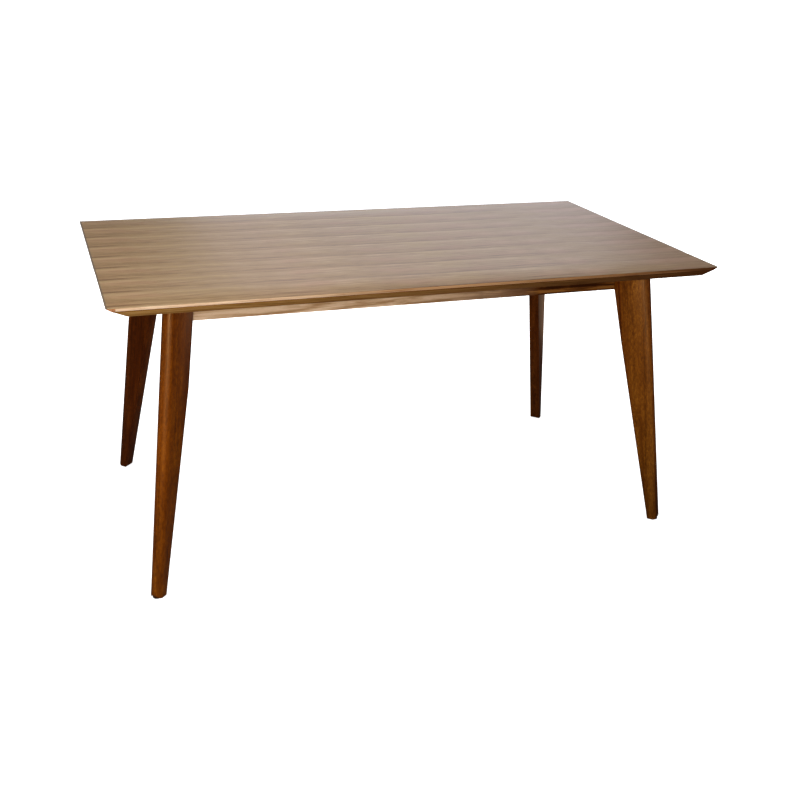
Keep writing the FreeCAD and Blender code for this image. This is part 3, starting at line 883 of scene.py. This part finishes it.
side_inset = 0.004
strip_middle = (strip_low.z + strip_high.z) / 2
end_undercut = end_inset - (cad_high.x - front_high.x)
for name, flip in (("front", -1), ("back", 1)):
    low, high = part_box("edge_strip_" + name)
    strip = sawn("side_strip_" + name, low, high)
    middle = (low + high) / 2
    shifted(strip, lambda point: point.z < strip_middle and (point.y - middle.y) * flip > 0,
            (0, -flip * side_inset, 0))
    for side in (-1, 1):
        shifted(strip, lambda point: point.z < strip_middle and point.x * side > 0,
                (-side * end_undercut, 0, 0))
    eased(strip, edge_arris, 2, 8)
    marked(strip, (1, 0, 0), (0, 0, 1), (0, 1, 0), (0, 0, 0.1 * flip))
    fitted(strip, strip_finish, "dark_edge_wood", "edge_strip_" + name)
for name, side in (("right", 1), ("left", -1)):
    low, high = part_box("edge_strip_" + name)
    strip = sawn("end_strip_" + name, low, high)
    middle = (low + high) / 2
    shifted(strip, lambda point: point.z < strip_middle and (point.x - middle.x) * side > 0,
            (-side * end_undercut, 0, 0))
    eased(strip, edge_arris, 2, 8)
    marked(strip, (0, 1, 0), (1, 0, 0), (0, 0, 1), (0.4 * side, 0, 0))
    fitted(strip, strip_finish, "dark_edge_wood", "edge_strip_" + name)


# Floor and light: a plain pale floor in a white room. Both are white to the camera and grey to the wood, so
# that the stain keeps its depth. The light is soft and comes from overhead, from above the left end, from the
# front left, and from low in front and behind. The top mirrors a white sheet, the back right leg a warm card.
bpy.ops.object.select_all(action="DESELECT")
bpy.ops.mesh.primitive_plane_add(size=600, location=(0, 0, 0))
floor = bpy.context.object
floor.name = "studio_floor"
floor_finish, tree, surface = new_finish("pale_floor")
rays = wired(tree, "LightPath").outputs
seen = rays["Is Camera Ray"]
shade = blended(tree, rays["Is Glossy Ray"], (0.25, 0.25, 0.25), (0.05, 0.05, 0.05))
tree.links.new(blended(tree, seen, shade, (0.8, 0.8, 0.8)), surface.inputs["Base Color"])
tree.links.new(sums(tree, "MULTIPLY", seen, 0.85), surface.inputs["Emission Strength"])
surface.inputs["Emission Color"].default_value = (1, 1, 1, 1)
surface.inputs["Roughness"].default_value = 1.0
surface.inputs["Specular IOR Level"].default_value = 0.0
floor.data.materials.append(floor_finish)

world = bpy.data.worlds.new("studio")
bpy.context.scene.world = world
world.use_nodes = True
surroundings = world.node_tree
seen = wired(surroundings, "LightPath").outputs["Is Camera Ray"]
backdrop = surroundings.nodes["Background"]
backdrop.inputs["Color"].default_value = (1, 1, 1, 1)
surroundings.links.new(sums(surroundings, "MULTIPLY_ADD", seen, 0.75, 0.25), backdrop.inputs["Strength"])


def hung(name, light, place, target):
    # Hangs a light out of the camera's sight, aimed at a point
    lamp = bpy.data.objects.new(name, light)
    bpy.context.scene.collection.objects.link(lamp)
    lamp.visible_camera = False
    lamp.location = place
    lamp.rotation_euler = (Vector(target) - Vector(place)).to_track_quat("-Z", "Y").to_euler()
    return lamp


def soft_box(name, place, target, power, width, height=None, colour=(1, 1, 1)):
    # A disc of light, or a rectangle where it has a height
    light = bpy.data.lights.new(name, "AREA")
    light.energy = power
    light.color = colour
    light.shape = "RECTANGLE" if height else "DISK"
    light.size = width
    light.size_y = height or width
    return hung(name, light, place, target)


overhead = bpy.data.lights.new("overhead", "SUN")
overhead.energy = 1.6
overhead.angle = math.radians(60)
hung("overhead", overhead, (-0.2, -0.2, 4), (0, 0, 0))
soft_box("left_light", (-1.2, -0.9, 2.1), (-0.4, -0.2, 0.76), 16, 1.2)
soft_box("key", (-0.9, -1.8, 1.05), (-0.4, -0.3, 0.7), 12.5, 0.8)
soft_box("front_light", (-0.9, -3.3, 0.34), (-0.9, 0, 0.34), 20, 5.0, 0.64)
soft_box("card", (1.42, 0.76, 0.27), (0.72, 0.38, 0.35), 0.58, 0.5, 0.5, (1, 0.7, 0.45))
back_light = soft_box("back_light", (0.5, 2.6, 0.4), (0.3, 0, 0.45), 56, 4.6, 0.6)
back_light.visible_glossy = False
soft_box("sheet", (1.45, 3.7, 1.7), (0.35, 0, 0.7), 29.5, 3.2, 1.5, (0.96, 1, 1.13))


# Camera: it stands to the left of the front, well above the top, and looks down at the middle of the table
# with a slight roll, as in the photograph.
camera_data = bpy.data.cameras.new("camera")
camera = bpy.data.objects.new("camera", camera_data)
bpy.context.scene.collection.objects.link(camera)
camera.location = (-0.9126, -2.6687, 1.4585)
camera.rotation_euler = [math.radians(angle) for angle in (67.394, -2.039, -20.157)]
camera_data.sensor_width = 36.0
camera_data.lens = 47.106
camera_data.shift_x = -0.0236
camera_data.shift_y = 0.0052
bpy.context.scene.camera = camera
bpy.context.scene.view_settings.view_transform = "Standard"
